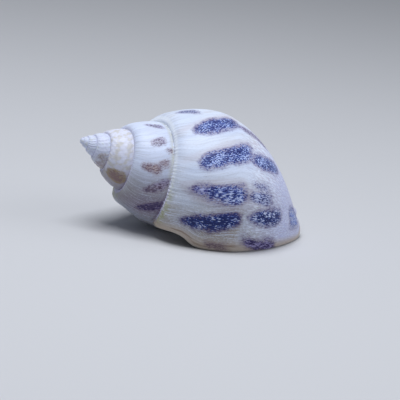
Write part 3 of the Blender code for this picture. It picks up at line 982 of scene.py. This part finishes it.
# %% The colours of the ground
IVORY = (0.58, 0.64, 0.79)
WHITE = (0.68, 0.76, 0.94)
CREAM = (0.54, 0.5, 0.45)
HORN = (0.35, 0.33, 0.31)
GREY_HORN = (0.36, 0.38, 0.42)
OLIVE = (0.31, 0.33, 0.15)
YELLOW = (0.52, 0.49, 0.4)
LILAC = (0.48, 0.51, 0.86)
PEARL = (0.76, 0.75, 0.88)
HEATHER = (0.5, 0.46, 0.62)
OLIVE_HORN = (0.31, 0.29, 0.22)
LAVENDER = (0.74, 0.74, 0.98)
BAND_CREAM = (0.53, 0.54, 0.46)
PAINTED_LIGHT_CHALK = (0.86, 0.92, 1.0)
FROST = (0.76, 0.82, 1.0)
PALE_SKY = (0.64, 0.72, 0.98)
SHADE_PLUM_HORN = (0.16, 0.115, 0.16)
SHADE_DUSK = (0.17, 0.13, 0.19)
WARM = (0.29, 0.225, 0.15)
ROSE = (0.53, 0.49, 0.56)
PALE_BLUE = (0.6, 0.69, 0.88)
BLUE_GREY = (0.44, 0.49, 0.62)
SKY = (0.52, 0.62, 0.92)
LIP_HORN = (0.5, 0.42, 0.34)
RUST = (0.17, 0.1, 0.06)
CREASE_SHADE_PLUM = (0.14, 0.09, 0.16)
CALLUS_WHITE = (0.76, 0.75, 0.74)
print("whitest colour of the ground:", PAINTED_LIGHT_CHALK)

# %% The ground of the outside
outside = bpy.data.materials.new("shell_outside")
outside.use_nodes = True
tree = outside.node_tree
place, share, age = growth_map()
lines, bands = growth_lines(place, 1.0)
height_here = node("ShaderNodeSeparateXYZ", {0: node("ShaderNodeTexCoord").outputs["Object"]}).outputs[2]


def at_height(low, high):
    """0 at the first height above the floor, in mm, and 1 at the second."""
    return ramp(height_here, low * MM, high * MM)


LAST_GROWTH = (26 / 360, 40 / 360)  # turns
low_side = at_height(12.0, 2.5)
high_side = minus(1.0, low_side)
newest = ramp(age, -0.85, -0.7)
earlier = ramp(age, -0.7, -0.85)
clouds = noise(place, 0.3, 0.45, 3.0)
warm_clouds = ramp(noise(place, 0.35, 0.8), 0.4, 0.64)
# A cold tint near the sutures, darker towards the floor as painted shade.
colder = blend(low_side, PALE_BLUE, BLUE_GREY)
tint = attribute("tint")
warm_tint = times(ramp(tint, -0.1, -0.8), plus(0.45, times(low_side, 0.3)))
ground = tinted(
    blend(ramp(bands, 0.3, 0.7), IVORY, WHITE),
    (CREAM, ramp(clouds, 0.46, 0.74), 0.3),
    # Painted shade: the ground darkens to horn towards the floor.
    (HORN, low_side, 0.62),
    (PALE_SKY, earlier, 0.4),
    # Painted shade: the older whorls darken to plum towards the floor.
    (SHADE_PLUM_HORN, at_height(11.5, 5.5), earlier, 0.8),
    (WARM, low_side, warm_clouds, ramp(share, 0.1, 0.26), 0.42),
    (WARM, ramp(age, *LAST_GROWTH), ramp(share, 0.46, 0.38), 0.72),
    (colder, newest, ramp(share, 0.06, 0.11), ramp(share, 0.25, 0.16), 0.45),
    (colder, newest, ramp(share, 0.385, 0.415), ramp(share, 0.46, 0.435), 0.45),
    # A warm tint beside the blotches, darker and stronger towards the floor as painted shade.
    (blend(low_side, ROSE, SHADE_DUSK), warm_tint),
    (SKY, ramp(tint, 0.1, 1.0), 0.38),
)
print("ground of", outside.name, "laid")

# %% The growth lines, which show most beside the sutures and on the low side
beside_suture = ramp(share, 0.13, 0.02)
lines_shown = plus(0.18, times(beside_suture, 0.32), times(low_side, 0.46))
fine_grains = noise(place, 3.4, 6.4, 2.0, 0.7)
grains_shown = plus(0.16, times(low_side, 0.46))
ground = tinted(
    ground,
    (GREY_HORN, ramp(lines, 0.5, 0.62), lines_shown),
    (WHITE, ramp(lines, 0.5, 0.38), lines_shown),
    (GREY_HORN, ramp(fine_grains, 0.46, 0.36), grains_shown),
    (WHITE, ramp(fine_grains, 0.54, 0.62), grains_shown),
)
print("growth lines on the ground")

# %% Tints of the older whorls
mottles = noise(place, 1.2, 1.4, 1.0)
third_whorl = times(ramp(age, -1.6, -1.85), ramp(age, -2.9, -2.4))
old_whorls = ramp(age, -2.3, -2.9)
ground = tinted(
    ground,
    # Painted light and shade: the third whorl is paler on its upper side and darker towards the floor.
    (PEARL, third_whorl, high_side, 0.5),
    (YELLOW, third_whorl, ramp(mottles, 0.42, 0.64), 0.55),
    (SHADE_DUSK, third_whorl, at_height(9.4, 7.4), 0.5),
    (WHITE, old_whorls, 0.55),
    (HEATHER, old_whorls, ramp(mottles, 0.62, 0.42), 0.34),
    (YELLOW, old_whorls, ramp(mottles, 0.52, 0.7), 0.4),
)
print("older whorls tinted")

# %% Tints at the sutures
olive_spots = times(ramp(share, 0.07, 0.03), ramp(share, 0.012, 0.022), ramp(mottles, 0.42, 0.54))
crease = attribute("crease")
ground = tinted(
    ground,
    (BAND_CREAM, newest, ramp(share, 0.06, 0.02), low_side, 0.45),
    # Painted light: the newest whorl's upper edge, on the upper side, is near white where its wall below the
    # suture lies in shade.
    (PAINTED_LIGHT_CHALK, newest, ramp(share, 0.045, 0.02), high_side, 0.8),
    (HEATHER, earlier, ramp(share, 0.045, 0.01), 0.3),
    (OLIVE_HORN, earlier, low_side, ramp(share, 0.2, 0.06), 0.55),
    # Painted shade: the earlier whorls darken towards the floor.
    (SHADE_DUSK, earlier, at_height(6.9, 5.0), 0.5),
    (OLIVE, olive_spots, newest, low_side, 0.75),
    (LILAC, ramp(share, 0.024, 0.01), low_side, 0.7),
    (LAVENDER, ramp(share, 0.018, 0.01), low_side, 0.6),
    (LAVENDER, ramp(attribute("bead"), 0.1, 0.45), plus(0.2, times(low_side, 0.8))),
    (BAND_CREAM, crease, ramp(age, -1.6, -1.4), high_side, 0.8),
    # Painted shadow in the crease of the suture, on the lower side.
    (CREASE_SHADE_PLUM, ramp(crease, 0.3, 1.0), low_side, 0.75),
)
print("sutures tinted")

# %% Tints at the base and the lip
on_base = ramp(share, 0.46, 0.72)
freckles = ramp(noise(place, 2.4, 3.2), 0.47, 0.6)
cord_waves = {"Vector": place, "Scale": 0.62, "Distortion": 1.6, "Detail": 2.0, "Detail Scale": 0.8}
cords = node("ShaderNodeTexWave", cord_waves, bands_direction="X").outputs["Fac"]
on_cords = ramp(share, 0.7, 0.84)
strokes = noise(place, 1.3, 4.6, 2.0, 0.6)
on_strokes = times(ramp(share, 0.34, 0.5), ramp(share, 1.1, 0.5))
rim_value = attribute("rim")
rust_band = times(ramp(rim_value, 0.58, 0.72), ramp(rim_value, 0.92, 0.8), ramp(share, 0.46, 0.38))
streaks = ramp(noise(place, 0.25, 1.9), 0.46, 0.62)
ground = tinted(
    ground,
    (LILAC, on_base, 0.7),
    (WHITE, on_base, freckles, 0.55),
    (ROSE, on_cords, cords, 0.5),
    (HEATHER, on_strokes, ramp(strokes, 0.48, 0.38), 0.68),
    (FROST, on_strokes, ramp(strokes, 0.49, 0.6), 0.75),
    (LIP_HORN, ramp(rim_value, 0.3, 0.85), 0.85),
    (RUST, rust_band, streaks, 0.6),
    (HORN, ramp(rim_value, 0.9, 0.96), 0.6),
    (CALLUS_WHITE, ramp(rim_value, 0.955, 0.985), ramp(share, 0.38, 0.46), 0.8),
)
print("base and lip tinted")

# %% [markdown]
# A blotch has a warm fringe and a dark core with pale specks in it. The same grains serve the specks and
# the holes in the fainter blotches, and noise of three sizes frays the edge.

# %% The grains and the frayed edges of the blotches
def about_half(value, strength):
    """A noise moved to lie about zero."""
    return times(minus(value, 0.5), strength)


clusters = noise(place, 0.7, 0.9, 1.0)
coarse_grains = noise(place, 1.9, 5.0, 2.0, 0.65)
coarseness = ramp(low_side, 0.1, 0.35)
grains = plus(
    node("ShaderNodeMix", {0: coarseness, 2: fine_grains, 3: coarse_grains}).outputs[0],
    about_half(clusters, plus(0.3, times(low_side, 0.25))),
    # Painted shade: fewer pale specks towards the floor and at the very top make the blotches darker there.
    times(ramp(low_side, 0.4, 0.9), -0.085),
    times(ramp(share, 0.4, 0.46), low_side, 0.06),
    times(at_height(12.5, 15.5), -0.025),
    times(coarseness, 0.018),
)
many_grains, few_grains = ramp(grains, 0.45, 0.51), ramp(grains, 0.53, 0.57)
broad_fray = about_half(noise(place, 0.3, 0.5, 1.0), 0.8)
fine_fray = about_half(noise(place, 1.3, 2.0, 3.0, 0.6), 0.5)
inside_blotch = plus(attribute("paint"), broad_fray, fine_fray)
specked_edge = plus(inside_blotch, about_half(noise(place, 3.0, 4.4, 1.0, 0.6), 1.1))
depth, warmth = attribute("depth"), attribute("warmth")
holes = times(minus(grains, 0.5), minus(times(warmth, 4.0), 7.0))
patches = plus(holes, about_half(clusters, 2.5))
cover = maths("ADD", depth, times(minus(1.0, depth), patches), clamp=True)
print("grains and frayed edges ready")

# %% The colours of the blotches
SHADE_INK = (0.004, 0.006, 0.03)
NAVY = (0.004, 0.015, 0.12)
DENIM = (0.05, 0.11, 0.46)
SPECK = (0.54, 0.66, 1.0)
MID_BLUE = (0.1, 0.18, 0.62)
BRIGHT_SKY = (0.25, 0.42, 0.98)
DARK_PLUM = (0.022, 0.008, 0.072)
PLUM = (0.1, 0.05, 0.2)
VIOLET = (0.05, 0.042, 0.2)
MAUVE = (0.42, 0.36, 0.66)
BROWN = (0.15, 0.08, 0.085)
RUSSET = (0.27, 0.18, 0.18)
PALE_RUSSET = (0.5, 0.41, 0.4)
TAWNY = (0.27, 0.18, 0.06)
DULL_BROWN = (0.22, 0.135, 0.155)
print("darkest colour of the blotches:", SHADE_INK)


# %% The blotches over the ground
def stippled(dark, middle, pale):
    """A dark colour with grains of a middle one, and pale specks on those."""
    return blend(few_grains, blend(many_grains, dark, middle), pale)


tawny = ramp(warmth, 1.05, 1.2)
heart = times(tawny, 0.35)
core = tinted(
    stippled(NAVY, DENIM, tinted(SPECK, (FROST, low_side, 0.75))),
    (stippled(MID_BLUE, BRIGHT_SKY, WHITE), ramp(warmth, 0.0, -0.4)),
    (stippled(DARK_PLUM, PLUM, MAUVE), ramp(warmth, 0.15, 0.5)),
    (stippled(BROWN, RUSSET, PALE_RUSSET), ramp(warmth, 0.6, 0.9)),
    (DULL_BROWN, tawny),
    (VIOLET, ramp(specked_edge, 1.05, 0.6), minus(0.34, heart)),
    # Painted shade: the cores of the blotches darken towards the floor.
    (SHADE_INK, low_side, 0.18),
)
fringe = tinted(
    blend(ramp(warmth, 0.1, 1.0), PLUM, RUSSET),
    # Painted shade: the fringe darkens towards the floor.
    (DARK_PLUM, low_side, 0.4),
    (TAWNY, tawny),
)
fringe_shown = minus(plus(0.72, times(tawny, 0.3)), times(many_grains, 0.26))
glaze_shown = times(ramp(attribute("glaze"), 0.15, 0.9), 0.85)
colour = tinted(
    ground,
    (fringe, ramp(inside_blotch, 0.12, 0.54), cover, fringe_shown),
    (core, ramp(minus(specked_edge, heart), 0.38, 0.72), cover),
    (CALLUS_WHITE, glaze_shown),
)
print("blotches painted")

# %% The gloss and the fine relief of the outside
roughness = minus(plus(0.3, times(lines, 0.22)), times(glaze_shown, 0.22))
height = plus(lines, times(grains, 0.3), times(cords, on_cords, 0.8))
surface = fill_surface(colour, roughness, height, strength=0.35, depth=0.03)
surface.inputs["IOR"].default_value = 1.36
print("material:", outside.name)

# %% The mouth
PORCELAIN = (0.72, 0.69, 0.66)
MOUTH_SHADE = (0.5, 0.42, 0.36)
mouth = bpy.data.materials.new("shell_mouth")
mouth.use_nodes = True
tree = mouth.node_tree
place, _, age = growth_map()
lines, bands = growth_lines(place, 0.5)
colour = tinted(
    # Painted shade: the mouth darkens from porcelain to brown deeper inside.
    blend(ramp(age, 0.05, -0.45), PORCELAIN, MOUTH_SHADE),
    (CREAM, ramp(lines, 0.5, 0.68), 0.3),
    (LILAC, ramp(bands, 0.45, 0.7), 0.25),
)
fill_surface(colour, plus(0.12, times(lines, 0.16)), lines, strength=0.2, depth=0.02)
print("material:", mouth.name)

# %% [markdown]
# ## Winding and joining
#
# Now each sheet is made, gets the values that its paint reads, and wears its material. Where two sheets
# meet, their points coincide, so joining them and merging those points leaves one closed skin.

# %% Wind up the sheets
NUCLEUS_SHARE = 0.05
NUCLEUS_AGES = (-6.5, -5.5)
NECK_SHARES = (1.0, 1.2)
NECK_AGES = (-0.8, 0.1)
cavity_shares = np.linspace(0, 1, cavity_places.shape[1])[None]
neck_shares = np.linspace(*NECK_SHARES, len(neck_places))[:, None]
neck_ages = np.linspace(*NECK_AGES, neck_places.shape[1])[None]
nucleus_ages = np.linspace(*NUCLEUS_AGES, dome_places.shape[1])[None]
sheets = {}
for name, places, shares, ages in (
    ("spire", spire_places, SPIRE_SHARES[None], spire_ages),
    ("base", base_places, base_share, base_ages),
    ("cavity", cavity_places, cavity_shares, (LIP_START - back) / 360),
    ("lip", rim, outer_shares[None], LIP_START / 360),
    ("neck", neck_places, neck_shares, neck_ages),
    ("nucleus", dome_places, NUCLEUS_SHARE, nucleus_ages),
):
    sheets[name] = wound_sheet(name, in_part(places), shares, ages)
    sheets[name].data.materials.append(mouth if name == "cavity" else outside)
print("sheets:", list(sheets))

# %% Give the sheets their values
keep_values(sheets["spire"], **spire_values)
keep_values(sheets["base"], **base_values)
keep_values(sheets["lip"], rim=np.ones(rim.shape[:2]))
glazed_edge = np.ones(len(rim_edge) + len(pillar_edge) + 1)
neck_glaze = np.concatenate([base_values["glaze"][:, -1], glazed_edge])
keep_values(sheets["neck"], glaze=np.broadcast_to(neck_glaze, neck_places.shape[:2]))
cavity_glaze = np.zeros(cavity_places.shape[:2])
cavity_glaze[:, 0] = 1.0
cavity_glaze[:, inner_wall.shape[1] :] = 1.0
keep_values(sheets["cavity"], glaze=cavity_glaze, rim=np.ones(cavity_glaze.shape))
print("values of the spire:", list(spire_values))

# %% Join them into one skin
TOUCHING = 2e-7  # metres
bpy.ops.object.select_all(action="DESELECT")
for sheet in sheets.values():
    sheet.select_set(True)
bpy.context.view_layer.objects.active = sheets["spire"]
bpy.ops.object.join()
shell = bpy.context.object
shell.name = "shell_surface"
bpy.ops.object.mode_set(mode="EDIT")
bpy.ops.mesh.select_all(action="SELECT")
bpy.ops.mesh.remove_doubles(threshold=TOUCHING)
bpy.ops.mesh.normals_make_consistent(inside=False)
bpy.ops.object.mode_set(mode="OBJECT")
bpy.ops.object.shade_smooth()
print("points:", len(shell.data.vertices), "faces:", len(shell.data.polygons))

# %% Finish
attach(shell, "root")
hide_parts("shell")
